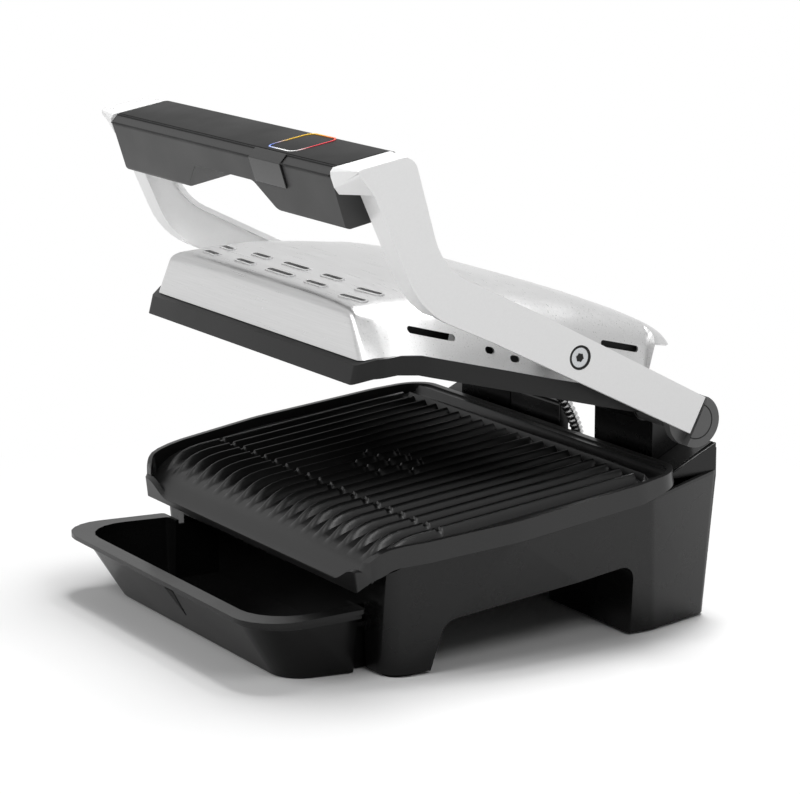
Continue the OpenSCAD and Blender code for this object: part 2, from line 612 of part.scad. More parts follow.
module lid_shell() color("#cfcfcf") in_lid() difference() {
    shell_mass(0);
    difference() {
        shell_mass(shell_t);
        // bosses that carry the pivots
        both_sides() translate([lid_half - 12, 0, 0]) rod_x(0, 20, 18);
    }
    // two rows of vents across the front of the top
    for (i = [-2:2]) {
        translate([8 + i * 52, -112, 0]) linear_extrude(60) square([i == 0 ? 32 : 22, vent_w], center = true);
        translate([0 + i * 52, -98, 0]) linear_extrude(60) square([i == 0 ? 32 : 22, vent_w], center = true);
    }
    // side vents
    both_sides() for (y = [-100, 64]) translate([lid_half - 30, y - 15, 3]) cube([60, 30, 4]);
    both_sides() rod_x(lid_half - 30, half, pivot_d + 0.04);
}
module lid_bushes() color("#b5b5b5") in_lid() both_sides() difference() {
    rod_x(lid_half + 4.2, arm_in - gap, 16);
    rod_x(lid_half, half, pivot_d + 0.04);
}
module lid_pivot_screws() color("#8f8f8f") in_lid() both_sides() difference() {
    union() {
        rod_x(lid_half - 11.5, half - 1.6, pivot_d);
        rod_x(half - 1.7, half - 0.5, 2 * pivot_d - 2.4);
    }
    rod_x(half - 1.5, half + 1, 5.5);
}
module upper_plate() color("#1e1e1e") in_lid() {
    translate([0, 0, upper_z - plate_t]) linear_extrude(plate_t)
        polygon(lid_plan(band_wall + 2.6, lid_front + 34, lid_back, 12));
    // ramp that follows the spout of the lower plate
    along_x(-lid_half + 22, lid_half - 22) polygon([
        [lid_front + 40, upper_z], [lid_front + 40, upper_z - plate_t],
        [lid_front + 24, lid_seat + 3], [lid_front + 5, lid_seat - 8],
        [lid_front + 5, lid_seat - 5.5], [lid_front + 24, lid_seat + 6]]);
    intersection() {
        translate([0, lid_front + 42, 0]) rib_row_down();
        translate([-half, lid_front + 42, lid_seat - 10]) cube([width, lid_back - lid_front - 56, 40]);
    }
}
module rib_row_down()
    for (i = [0:rib_count - 1])
        translate([-rib_half + rib_w / 2 + i * rib_pitch, 0, 0]) rotate([-90, 0, 0])
            linear_extrude(400) polygon([[-rib_w / 2, plate_t / 2 - upper_z],
                [rib_w / 2, plate_t / 2 - upper_z], [rib_w / 4, -lid_seat - 1.5],
                [-rib_w / 4, -lid_seat - 1.5]]);
upper_z = lid_seat + band_h - ledge_t - 0.3;
module upper_heater() color("#8c8c8c") in_lid() translate([0, lid_front, 0])
    heater_loop(heater_x, 60, lid_back - lid_front - 24, upper_z + element_d / 2 + 0.3);
module upper_reflector() color("#b8b8b8") in_lid() translate([0, 0, upper_z + 0.3]) difference() {
    linear_extrude(9.5) polygon(rounded(box_outline(
        -heater_x - 16, lid_front + 46, heater_x + 16, lid_back - 16, 12)));
    translate([0, 0, -1]) linear_extrude(9.5) polygon(rounded(box_outline(
        -heater_x - 15, lid_front + 47, heater_x + 15, lid_back - 17, 11)));
}
module thickness_sensor() color("#404040") in_lid() translate([lid_half - 60, -12, upper_z + 10.2]) {
    cube([24, 18, 9]);
    translate([12, 9, 9]) cylinder(h = 6, d = 5);
}
module upper_release() color("#3a3a3a") in_lid() translate([-lid_half, latch_y, lid_seat + 6.5])
    rod_x(-1.6, band_wall - 0.2, 7.4);
module upper_latch() color("#b0b0b0") in_lid()
    translate([-lid_half + band_wall + 6.4, latch_y - 6, upper_z + 0.2]) cube([14, 12, 0.8]);

// --- ribbed cable tube from the lid's rear down to the deck ---
conduit_run = conduit_d;
conduit_start = [conduit_x, pivot_y + (lid_back - 5) * cos(lid_tilt) + conduit_w * sin(lid_tilt),
    pivot_z - (lid_back - 5) * sin(lid_tilt) + conduit_w * cos(lid_tilt)];
conduit_end = [conduit_x + 6, plate_depth + 14, well_z + 1];
conduit_out = [0, cos(lid_tilt), -sin(lid_tilt)];
conduit_share = 0.18;
conduit_steps = conduit_ribs * 2;
// straight out of the lid, a smooth drop, then straight down into the deck's socket
function conduit_at(t) =
    t < conduit_share ? conduit_start + conduit_out * conduit_run * t / conduit_share :
    t > 1 - conduit_share ? conduit_end + [0, 0, conduit_run * (1 - t) / conduit_share] :
    let (k = (t - conduit_share) / (1 - 2 * conduit_share), a = conduit_start + conduit_out * conduit_run,
         d = conduit_end + [0, 0, conduit_run], b = a + conduit_out * 16, c = d + [0, 0, 14])
    a * pow(1 - k, 3) + b * 3 * k * pow(1 - k, 2) + c * 3 * k * k * (1 - k) + d * pow(k, 3);
function conduit_dir(t) = unit(conduit_at(min(1, t + 0.01)) - conduit_at(max(0, t - 0.01)));
function ring(t, r) = let (p = conduit_at(t), f = conduit_dir(t), e = unit(cross(f, [1, 0, 0])),
    g = cross(f, e)) [for (k = [0:7]) p + r * (cos(k * 45) * g + sin(k * 45) * e)];
module cable_conduit() color("#bdbdbd") in_base() {
    n = conduit_steps;
    outer = [for (i = [0:n]) each ring(i / n, conduit_d / 2 - (i % 2) * 0.8)];
    inner = [for (i = [0:n]) each ring(i / n, conduit_bore / 2)];
    m = 8 * (n + 1);
    side = [for (i = [0:n - 1], k = [0:7]) let (a = i * 8 + k, b = i * 8 + (k + 1) % 8)
        each [[a, b, b + 8], [a, b + 8, a + 8], [m + b, m + a, m + a + 8], [m + b, m + a + 8, m + b + 8]]];
    ends = [for (k = [0:7]) let (a = k, b = (k + 1) % 8, c = n * 8)
        each [[b, a, m + a], [b, m + a, m + b], [c + a, c + b, m + c + b], [c + a, m + c + b, m + c + a]]];
    polyhedron(concat(outer, inner), concat(side, ends));
}

base_housing();
bottom_cover();
deck_cover();
rubber_feet();
hinge_tower_right();
hinge_tower_left();
cable_block();
lower_plate();
lower_heater();
lower_reflector();
plate_sensor();
control_pcb();
terminal_block();
cord_gland();
lower_release();
lower_latch_spring();
cover_screws();
drip_tray();
arm_right();
arm_left();
hinge_pins();
hinge_caps();
hinge_washers();
handle_housing();
handle_cover();
handle_bezel();
display_band();
display_lens();
handle_pcb();
handle_screws();
lid_shell();
lid_frame();
upper_plate();
upper_heater();
upper_reflector();
lid_pivot_screws();
lid_bushes();
thickness_sensor();
upper_release();
upper_latch();
cable_conduit();
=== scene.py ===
import math

import bmesh
import bpy
from mathutils import Matrix, Vector
from mathutils.bvhtree import BVHTree


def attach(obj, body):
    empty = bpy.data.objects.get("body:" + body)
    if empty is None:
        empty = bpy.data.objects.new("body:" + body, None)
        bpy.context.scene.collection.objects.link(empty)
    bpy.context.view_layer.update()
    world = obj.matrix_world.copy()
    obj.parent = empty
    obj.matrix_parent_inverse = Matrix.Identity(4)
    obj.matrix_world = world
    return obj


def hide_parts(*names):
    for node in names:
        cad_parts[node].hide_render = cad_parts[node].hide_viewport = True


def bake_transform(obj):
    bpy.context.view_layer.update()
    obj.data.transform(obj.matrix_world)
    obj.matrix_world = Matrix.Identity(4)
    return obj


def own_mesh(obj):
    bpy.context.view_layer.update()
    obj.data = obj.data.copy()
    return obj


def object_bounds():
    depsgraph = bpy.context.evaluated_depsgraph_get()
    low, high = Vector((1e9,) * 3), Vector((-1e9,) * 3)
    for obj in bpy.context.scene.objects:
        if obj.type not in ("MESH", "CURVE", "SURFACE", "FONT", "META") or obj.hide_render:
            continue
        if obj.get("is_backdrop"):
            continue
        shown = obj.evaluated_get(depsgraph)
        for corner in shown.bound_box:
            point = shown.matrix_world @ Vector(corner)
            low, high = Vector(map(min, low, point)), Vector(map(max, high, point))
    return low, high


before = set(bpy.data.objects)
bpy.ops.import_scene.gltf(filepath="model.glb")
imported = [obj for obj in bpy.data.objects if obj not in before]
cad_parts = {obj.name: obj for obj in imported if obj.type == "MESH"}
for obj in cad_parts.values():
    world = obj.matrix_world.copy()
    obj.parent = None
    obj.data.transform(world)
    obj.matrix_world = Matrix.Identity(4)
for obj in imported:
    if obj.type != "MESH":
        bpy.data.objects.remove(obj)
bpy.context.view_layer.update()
scene = bpy.context.scene
scene.view_settings.view_transform = "Standard"

# --- Camera ---
# A long lens from the right of the front, a little above the lid, as the photograph was taken.
camera = bpy.data.objects.new("camera", bpy.data.cameras.new("camera"))
scene.collection.objects.link(camera)
scene.camera = camera
camera.data.sensor_width = 36
camera.data.lens = 140.59
camera.data.clip_start, camera.data.clip_end = 0.1, 60
turn, rise = math.radians(59.39), math.radians(12.11)
towards = Vector((math.sin(turn) * math.cos(rise), -math.cos(turn) * math.cos(rise), math.sin(rise)))
camera.location = (1.8451, -1.0764, 0.6085)
camera.rotation_mode = "QUATERNION"
camera.rotation_quaternion = (-towards).to_track_quat("-Z", "Y")


# --- Studio ---
# A matt white sweep under soft boxes. The floor keeps the object's shadow, and what lies past it
# is white to the camera and a dimmer white in reflections.
mirrored_share = 0.62
ambient = 0.17
shade_ends = (0.20, 0.56)
aim = Vector((0, 0, 0.15))


def linear(hex_colour):
    """An sRGB hex colour as linear RGBA."""
    parts = [int(hex_colour[i:i + 2], 16) / 255 for i in (1, 3, 5)]
    return (*[p / 12.92 if p <= 0.04045 else ((p + 0.055) / 1.055) ** 2.4 for p in parts], 1)


def add(tree, kind, inputs=None, **settings):
    """Adds a node with its settings. inputs maps each input to a value or to the socket that feeds it."""
    node = tree.nodes.new(kind)
    for key, value in settings.items():
        setattr(node, key, value)
    for key, value in (inputs or {}).items():
        if isinstance(value, bpy.types.NodeSocket):
            tree.links.new(value, node.inputs[key])
        else:
            node.inputs[key].default_value = value
    return node


def new_material(name):
    """An empty node material and its tree."""
    material = bpy.data.materials.new(name)
    material.use_nodes = True
    material.node_tree.nodes.clear()
    return material, material.node_tree


def sees_background(tree):
    """1 for rays from the camera or through glass, a share for rays off gloss, else 0."""
    path = add(tree, "ShaderNodeLightPath")
    gloss = add(tree, "ShaderNodeMath", {0: path.outputs["Is Glossy Ray"], 1: mirrored_share},
                operation="MULTIPLY")
    either = add(tree, "ShaderNodeMath", {0: path.outputs["Is Camera Ray"], 1: gloss.outputs[0]},
                 operation="MAXIMUM")
    return add(tree, "ShaderNodeMath", {0: either.outputs[0], 1: path.outputs["Is Transmission Ray"]},
               operation="MAXIMUM").outputs[0]


world = bpy.data.worlds.new("studio")
world.use_nodes = True
scene.world = world
tree = world.node_tree
tree.nodes.clear()
lit = add(tree, "ShaderNodeBackground", {"Color": (1, 1, 1, 1), "Strength": ambient})
white = add(tree, "ShaderNodeBackground", {"Color": (1, 1, 1, 1), "Strength": 1.0})
mixed = add(tree, "ShaderNodeMixShader", {0: sees_background(tree), 1: lit.outputs[0], 2: white.outputs[0]})
add(tree, "ShaderNodeOutputWorld", {"Surface": mixed.outputs[0]})

# the paper shows its shade near the object and runs out to pure white half a metre away
paper, tree = new_material("matt_white_paper_sweep")
matt = add(tree, "ShaderNodeBsdfDiffuse", {"Color": linear("#f6f6f6")})
far = add(tree, "ShaderNodeEmission", {"Color": (1, 1, 1, 1), "Strength": 1.0})
where = add(tree, "ShaderNodeTexCoord").outputs["Object"]
reach = add(tree, "ShaderNodeVectorMath", {0: where}, operation="LENGTH").outputs["Value"]
share = add(tree, "ShaderNodeMapRange", {"Value": reach, 1: shade_ends[0], 2: shade_ends[1], 3: 0.0, 4: 1.0},
            interpolation_type="SMOOTHSTEP").outputs[0]
shown = add(tree, "ShaderNodeMixShader", {0: share, 1: matt.outputs[0], 2: far.outputs[0]})
# what it throws back: little from under the object, more from further out
shaded = add(tree, "ShaderNodeBsdfDiffuse", {"Color": linear("#909090")})
bounce = add(tree, "ShaderNodeEmission", {"Color": (1, 1, 1, 1), "Strength": 1.15})
thrown = add(tree, "ShaderNodeMixShader", {0: share, 1: shaded.outputs[0], 2: bounce.outputs[0]})
mixed = add(tree, "ShaderNodeMixShader", {0: sees_background(tree), 1: thrown.outputs[0], 2: shown.outputs[0]})
add(tree, "ShaderNodeOutputMaterial", {"Surface": mixed.outputs[0]})
bm = bmesh.new()
bmesh.ops.create_grid(bm, x_segments=1, y_segments=1, size=30)
floor = bpy.data.objects.new("floor", bpy.data.meshes.new("floor"))
bm.to_mesh(floor.data)
bm.free()
floor.data.materials.append(paper)
scene.collection.objects.link(floor)
floor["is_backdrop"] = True

for name, place, size, power in (
        ("key_softbox", (0.4, -1.9, 1.9), 1.2, 22), ("top_softbox", (-0.1, 0.4, 2.1), 1.1, 42),
        ("side_softbox", (1.9, 0.0, 1.8), 0.9, 10)):
    lamp = bpy.data.objects.new(name, bpy.data.lights.new(name, "AREA"))
    lamp.data.shape = "DISK"
    lamp.data.size = size
    lamp.data.energy = power
    lamp.location = place
    lamp.rotation_euler = (aim - Vector(place)).to_track_quat("-Z", "Y").to_euler()
    scene.collection.objects.link(lamp)


# --- Base housing ---
# The body of the grill: a moulded black plastic shell on two front legs and a rear block, cut by
# an arch on each side. The deck behind the plate is a second moulding clipped into it.
merge_within = 0.000002
plate_front_y = -111.5


def plastic(name, colour, rough, grain_mm=1.6, depth=0.05, speckle=0.12, specular=0.5):
    """Moulded plastic: its colour and its gloss vary softly, over a fine moulded grain."""
    material, tree = new_material(name)
    where = add(tree, "ShaderNodeTexCoord").outputs["Object"]
    cloud = add(tree, "ShaderNodeTexNoise", {"Vector": where, "Scale": 28, "Detail": 3})
    grain = add(tree, "ShaderNodeTexNoise", {"Vector": where, "Scale": 1000 / grain_mm, "Detail": 2})
    shade = add(tree, "ShaderNodeMapRange", {"Value": cloud.outputs[0], 1: 0.3, 2: 0.7,
                                            3: 1 - speckle, 4: 1 + speckle})
    tint = add(tree, "ShaderNodeVectorMath", {0: linear(colour)[:3], "Scale": shade.outputs[0]}, operation="SCALE")
    gloss = add(tree, "ShaderNodeMapRange", {"Value": cloud.outputs[0], 1: 0.3, 2: 0.7,
                                            3: rough * 0.9, 4: rough * 1.12})
    bump = add(tree, "ShaderNodeBump", {"Height": grain.outputs[0], "Strength": depth, "Distance": 0.0004})
    shader = add(tree, "ShaderNodeBsdfPrincipled", {
        "Base Color": tint.outputs[0], "Roughness": gloss.outputs[0], "IOR": 1.5,
        "Specular IOR Level": specular, "Normal": bump.outputs[0]})
    add(tree, "ShaderNodeOutputMaterial", {"Surface": shader.outputs[0]})
    return material


def piece(name, bm, body, *materials, bevel=0, segments=3, angle=30, stands_for=(), slot=None):
    """A finished object from a bmesh in metres, smooth up to an angle, riding on a body if one is named."""
    made = bpy.data.objects.new(name, bpy.data.meshes.new(name))
    bmesh.ops.remove_doubles(bm, verts=bm.verts, dist=merge_within)
    bm.to_mesh(made.data)
    bm.free()
    scene.collection.objects.link(made)
    for material in materials:
        made.data.materials.append(material)
    made.data.shade_smooth()
    made.data.set_sharp_from_angle(angle=math.radians(angle))
    if bevel:
        rounding = made.modifiers.new("rounded_edges", "BEVEL")
        rounding.width = bevel * 0.001
        rounding.segments = segments
        rounding.limit_method = "ANGLE"
        rounding.angle_limit = math.radians(angle)
        rounding.harden_normals = True
        rounding.use_clamp_overlap = True
    if body:
        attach(made, body)
    if stands_for:
        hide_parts(*stands_for)
    return made


def copied(*nodes):
    """The CAD nodes' own meshes, joined up and with their flat faces made whole."""
    bm = bmesh.new()
    for node in nodes:
        bm.from_mesh(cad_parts[node].data)
    bmesh.ops.remove_doubles(bm, verts=bm.verts, dist=merge_within)
    bmesh.ops.dissolve_limit(bm, angle_limit=math.radians(0.6), verts=bm.verts, edges=bm.edges)
    for face in bm.faces:
        face.material_index = 0
    return bm


def finish_nodes(material, *nodes):
    """Gives CAD nodes that stay as they are a finish."""
    for node in nodes:
        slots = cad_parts[node].material_slots
        for place in slots:
            place.link = "OBJECT"
            place.material = material


# polished ABS: near black, with soft broad highlights
body_abs = plastic("black_ABS_polished", "#0f0f0f", 0.27, specular=0.36)
# the same ABS left matt by its mould, for parts that are half hidden, and also the painted shade in the screws'
# star recesses and behind the lid's side slots
matt_abs = plastic("black_ABS_matt", "#0d0d0d", 0.55, grain_mm=0.9, depth=0.12, specular=0.3)
housing = copied("base_housing")
# the upright edges at the two rear corners, which are rounded more than the rest
rear_y, side_x, shortest, least_fold = 0.135, 0.128, 0.03, 0.25
corner_edges = []
for edge in housing.edges:
    run = edge.verts[1].co - edge.verts[0].co
    middle = (edge.verts[0].co + edge.verts[1].co) / 2
    upright = run.length > shortest and abs(run.z) > 0.9 * run.length
    at_corner = middle.y > rear_y and abs(middle.x) > side_x
    if upright and at_corner and edge.is_convex and edge.calc_face_angle(0) > least_fold:
        corner_edges.append(edge)
bmesh.ops.bevel(housing, geom=corner_edges, affect="EDGES", offset=0.006, offset_type="OFFSET", segments=4,
                profile=0.5, material=-1, clamp_overlap=True)
piece("base_shell", housing, "base", body_abs, bevel=1.2, stands_for=["base_housing"])
piece("deck", copied("deck_cover"), "base", body_abs, bevel=0.6, stands_for=["deck_cover"])
piece("hinge_towers", copied("hinge_tower_right", "hinge_tower_left"), "base", body_abs, bevel=1,
      stands_for=["hinge_tower_right", "hinge_tower_left"])
piece("cable_guard", copied("cable_block"), "base", body_abs, bevel=1, stands_for=["cable_block"])
# the deck's side skirts close the step over the rear block
skirt_x, skirt_t = 149.4, 3.2
skirts = bmesh.new()
for side in (-1, 1):
    corners = [skirts.verts.new((side * skirt_x, y + plate_front_y, z)) for y, z in (
        (251, 105), (289.5, 105), (289.5, 127.2), (258, 112.4), (251, 108.6))]
    sheet = skirts.faces.new(corners)
    pulled = bmesh.ops.extrude_face_region(skirts, geom=[sheet])["geom"]
    bmesh.ops.translate(skirts, verts=[g for g in pulled if isinstance(g, bmesh.types.BMVert)],
                        vec=(side * skirt_t, 0, 0))
bmesh.ops.recalc_face_normals(skirts, faces=skirts.faces[:])
bmesh.ops.scale(skirts, vec=(0.001, 0.001, 0.001), verts=skirts.verts)
piece("deck_skirts", skirts, "base", body_abs, bevel=0.8, slot="black_plastic")
finish_nodes(matt_abs, "bottom_cover", "cord_gland", "terminal_block")
# moulded rubber: dull, a little lighter than the plastic
rubber = plastic("moulded_black_rubber", "#1c1c1c", 0.75, grain_mm=0.7, depth=0.25, specular=0.25)
finish_nodes(rubber, "rubber_feet")
# fibre board with a green lacquer over its copper
board = plastic("green_lacquered_fibre_board", "#1f4a2e", 0.4, grain_mm=2.5, depth=0.1)
finish_nodes(board, "control_pcb", "handle_pcb")


# --- Screws, springs and heaters ---
# Zinc-plated steel for screws, springs and pins, drawn steel tube for the heaters, and folded
# aluminised sheet for the reflectors under them. They are mostly hidden inside.
def metal(name, colour, rough, along_mm=30, across_mm=0.5, depth=0.05, metallic=1.0, vary=0.06):
    """Metal with fine scratches that run along X."""
    material, tree = new_material(name)
    where = add(tree, "ShaderNodeTexCoord").outputs["Object"]
    stretch = add(tree, "ShaderNodeMapping", {"Vector": where, "Scale": (
        1000 / along_mm, 1000 / across_mm, 1000 / across_mm)})
    strokes = add(tree, "ShaderNodeTexNoise", {"Vector": stretch.outputs[0], "Scale": 1, "Detail": 3})
    shade = add(tree, "ShaderNodeMapRange", {"Value": strokes.outputs[0], 1: 0.3, 2: 0.7,
                                            3: 1 - vary, 4: 1 + vary})
    tint = add(tree, "ShaderNodeVectorMath", {0: linear(colour)[:3], "Scale": shade.outputs[0]}, operation="SCALE")
    gloss = add(tree, "ShaderNodeMapRange", {"Value": strokes.outputs[0], 1: 0.3, 2: 0.7,
                                            3: rough * 0.85, 4: rough * 1.2})
    bump = add(tree, "ShaderNodeBump", {"Height": strokes.outputs[0], "Strength": depth, "Distance": 0.0003})
    shader = add(tree, "ShaderNodeBsdfPrincipled", {
        "Base Color": tint.outputs[0], "Roughness": gloss.outputs[0], "Metallic": metallic,
        "Normal": bump.outputs[0]})
    add(tree, "ShaderNodeOutputMaterial", {"Surface": shader.outputs[0]})
    return material


zinc = metal("zinc_plated_steel", "#c2c4c6", 0.3, along_mm=6)
finish_nodes(zinc, "cover_screws", "handle_screws", "hinge_pins", "plate_sensor",
             "thickness_sensor", "lid_pivot_screws")
heater_tube = metal("drawn_steel_tube_blued", "#6f6d6c", 0.42, along_mm=12)
finish_nodes(heater_tube, "lower_heater", "upper_heater")
reflector = metal("aluminised_steel_sheet", "#a9abad", 0.35, across_mm=1.2)
finish_nodes(reflector, "lower_reflector", "upper_reflector")

# --- Lower grill plate ---
# A die-cast aluminium plate with a black non-stick coat. Twenty ribs rise out of a smooth apron
# that falls to the spout, and each rib has a nick across it. A rounded bead runs round the rim.
MM = Matrix.Scale(0.001, 4)
in_plate = MM @ Matrix.Translation((0, plate_front_y, 89)) @ Matrix.Rotation(math.radians(6.6), 4, "X")


def along(curve, at):
    """The height of a curve of (position, height) points at a position."""
    if at <= curve[0][0]:
        return curve[0][1]
    for (a, low), (b, high) in zip(curve, curve[1:]):
        if at <= b:
            return low + (high - low) * (at - a) / (b - a)
    return curve[-1][1]


def mirrored(half):
    """A right-hand half outline of (x, y, radius) corners, closed by its mirror image."""
    return half + [(-x, y, r) for x, y, r in reversed(half)]


def outline(corners, steps=6):
    """A flat face in the XY plane whose corners are rounded by vertex bevels of their own radius."""
    bm = bmesh.new()
    verts = [bm.verts.new((x, y, 0)) for x, y, _ in corners]
    bm.faces.new(verts)
    for n, (vert, corner) in enumerate(zip(verts, corners)):
        if corner[2]:
            here = Vector(corner[:2])
            back = Vector(corners[n - 1][:2]) - here
            on = Vector(corners[(n + 1) % len(corners)][:2]) - here
            offset = corner[2] / math.tan(back.angle(on) / 2)
            bmesh.ops.bevel(bm, geom=[vert], affect="VERTICES", offset=offset, offset_type="OFFSET",
                            segments=steps, profile=0.5, material=-1, clamp_overlap=True)
    return bm


def thicken(bm, by):
    """Extrudes every face of a flat bmesh by a vector and turns the faces outwards."""
    pulled = bmesh.ops.extrude_face_region(bm, geom=bm.faces[:])["geom"]
    bmesh.ops.translate(bm, verts=[g for g in pulled if isinstance(g, bmesh.types.BMVert)], vec=by)
    bmesh.ops.recalc_face_normals(bm, faces=bm.faces[:])
    return bm


def sliced(bm, axis, places):
    """Cuts a bmesh across an axis at each of the places, so that it can be shaped there."""
    for place in places:
        point, normal = Vector((0, 0, 0)), Vector((0, 0, 0))
        point[axis], normal[axis] = place, 1
        bmesh.ops.bisect_plane(bm, geom=bm.verts[:] + bm.edges[:] + bm.faces[:], dist=0.0001,
                               plane_co=point, plane_no=normal)


def joined(*parts):
    """Several bmeshes in one."""
    whole = bmesh.new()
    for part in parts:
        mesh = bpy.data.meshes.new("part")
        part.to_mesh(mesh)
        part.free()
        whole.from_mesh(mesh)
        bpy.data.meshes.remove(mesh)
    return whole


# non-stick coat on cast metal: very dark with a soft sheen over a slight pebble
coat = plastic("nonstick_coated_cast_aluminium", "#171717", 0.31, grain_mm=1.4, depth=0.10, specular=0.5)
plate_plan = [(153, 0, 4), (166, 10, 12), (175.6, 42, 40), (184.6, 110, 90), (180.6, 210, 60), (172.6, 250, 26)]
rim_top = [(0, -15), (4.2, -14.2), (6, -9), (10, -4.6), (14, -2.2), (20, -0.8), (30, 0)]
rim_foot = [(0, -29), (8, -20), (22, -14), (210, -14), (250, -9)]
bead_w = 4.2
spout_half, spout_blend, spout_z = 122, 28, -25.4
rim = outline(mirrored(plate_plan), steps=8)
bmesh.ops.inset_region(rim, faces=rim.faces[:], thickness=bead_w, use_boundary=True, use_even_offset=True)
bmesh.ops.delete(rim, geom=[max(rim.faces, key=lambda f: f.calc_area())], context="FACES")
sliced(rim, 1, (2, 4, 6, 8, 10, 12, 14, 17, 20, 25, 30, 40, 60, 85, 140, 170, 200, 225))
sliced(rim, 0, [side * x for side in (-1, 1) for x in (122, 126, 130, 134, 138, 142, 146, 150)])
thicken(rim, (0, 0, -1))
for vert in rim.verts:
    upper = vert.co.z > -0.5
    vert.co.z = along(rim_top if upper else rim_foot, vert.co.y)
    if upper and vert.co.y < 9:
        share = min(1, max(0, (abs(vert.co.x) - spout_half) / spout_blend))
        vert.co.z = spout_z + (vert.co.z - spout_z) * share * share * (3 - 2 * share)

apron = [(0, -25), (2, -24), (11, -16.6), (20, -11.5), (28, -8.6), (37, -7.1), (42, -7)]
crest = [(16, -13.8), (19, -11.2), (23, -7.6), (27, -4.8), (32, -2.4), (38, -0.8), (46, 0)]
rib_half, rib_gaps, rib_start, rib_ends, rib_half_w = 153, 19, 16, 222, 3.6
rib_pitch = 2 * rib_half / rib_gaps
nick_depth, nick_half = 1.7, 1.3
groove_z, floor_t = -7, 3.6
nicks = {64.7: range(20), 104: (8, 9, 10), 122: (7, 8, 9, 10, 11), 138.5: (8, 9, 10)}
rows = sorted([0.2, 1] + list(range(2, 50, 2)) + list(range(50, 222, 6)) + [221, 222, 223, 224, 225.5, 227, 228.5,
              230, 231.5, 233, 235, 237, 238.5, 240, 241.5, 243, 245, 248]
              + [near + step for near in nicks for step in (-2, -1.2, 0, 1.2, 2)])


def plate_height(x, y):
    """Height of the plate's upper face: apron, grooves, ribs with their nicks, and the rear ridge."""
    base = along(apron, y)
    if y > 236:
        return groove_z + 5.6 * min(1, max(0, (y - 238) / 3))
    if y > 224:
        return groove_z + 4.6 * max(0, 1 - abs(y - 228.5) / 2.6) * (abs(x) < 157)
    rib = round((x + rib_half) / rib_pitch)
    if not 0 <= rib <= rib_gaps or y < rib_start:
        return base
    top = along(crest, y)
    for place, ribs in nicks.items():
        if rib in ribs and abs(y - place) < nick_half:
            top -= nick_depth
    if y > rib_ends - 0.5:
        top = -5.5
    away = abs(x + rib_half - rib * rib_pitch)
    share = max(0, 1 - (away / rib_half_w) ** 2)
    return base + (top - base) * share ** 0.8


field = bmesh.new()
columns, columns_per_rib = 362, 16
bmesh.ops.create_grid(field, x_segments=columns, y_segments=len(rows) - 1, size=1)
for vert in field.verts:
    y = rows[round((vert.co.y + 1) / 2 * (len(rows) - 1))]
    x = vert.co.x * columns / 2 * rib_pitch / columns_per_rib
    vert.co = (x, y, plate_height(x, y))
edge = [(y, x) for x, y, _ in plate_plan]
corner_x, corner_y, corner_r = 146, 224, 24
outside = []
for face in field.faces:
    x, y = abs(face.calc_center_median().x), face.calc_center_median().y
    corner = x > corner_x and y > corner_y and math.hypot(x - corner_x, y - corner_y) > corner_r
    if x > along(edge, y) - (4 if y < 14 else 2) or corner:
        outside.append(face)
bmesh.ops.delete(field, geom=outside, context="FACES")
under = bmesh.ops.extrude_face_region(field, geom=field.faces[:], use_keep_orig=True)["geom"]
for vert in under:
    if isinstance(vert, bmesh.types.BMVert):
        vert.co.z = along(apron, vert.co.y) - floor_t
bmesh.ops.recalc_face_normals(field, faces=field.faces[:])
plate = joined(rim, field)
bmesh.ops.transform(plate, matrix=in_plate, verts=plate.verts)
piece("lower_grill_plate", plate, "base", coat, angle=50, stands_for=["lower_plate"])

# --- Drip tray ---
# A black polypropylene drawer that slides out at the front, with a broad rounded rim. Its inside
# is glossy, and a triangular finger mark sits under the front rim.
# moulded polypropylene: near black, glossy enough to mirror its own walls
tray_pp = plastic("dark_grey_PP_glossy", "#141414", 0.22, grain_mm=3, depth=0.02, specular=0.25)
drawer = copied("drip_tray")
wall = BVHTree.FromBMesh(drawer)
mark = bmesh.new()
proud, mark_t = 0.0004, 0.0012
corners = [wall.ray_cast(Vector((x, -0.3, z)), Vector((0, 1, 0)))[0] for x, z in (
    (-0.002, 0.036), (0.010, 0.036), (0.005, 0.016))]
sheet = mark.faces.new([mark.verts.new(corner - Vector((0, proud, 0))) for corner in corners])
pulled = bmesh.ops.extrude_face_region(mark, geom=[sheet])["geom"]
bmesh.ops.translate(mark, verts=[g for g in pulled if isinstance(g, bmesh.types.BMVert)], vec=(0, mark_t, 0))
bmesh.ops.recalc_face_normals(mark, faces=mark.faces[:])
piece("tray_drawer", drawer, "drip_tray", tray_pp, bevel=1.6, segments=4, stands_for=["drip_tray"])
piece("tray_finger_mark", mark, "drip_tray", matt_abs, slot="tray_plastic")

# --- Release buttons ---
# A black sliding catch on each plate: pressed in, it frees the plate for washing.
finish_nodes(body_abs, "lower_release", "upper_release", "upper_latch")

# --- Arms ---
# Two bent arms of die-cast aluminium, painted silver, join the lid and the handle to the hinge.
# Each ends in a block that hugs the handle, and a flange stiffens its neck.
# silver paint: nearly white, with a soft sheen and fine flakes
silver = metal("silver_painted_die_cast_aluminium", "#eaeaea", 0.33, along_mm=1.5, across_mm=1.5, depth=0.006,
               metallic=0.15, vary=0.012)


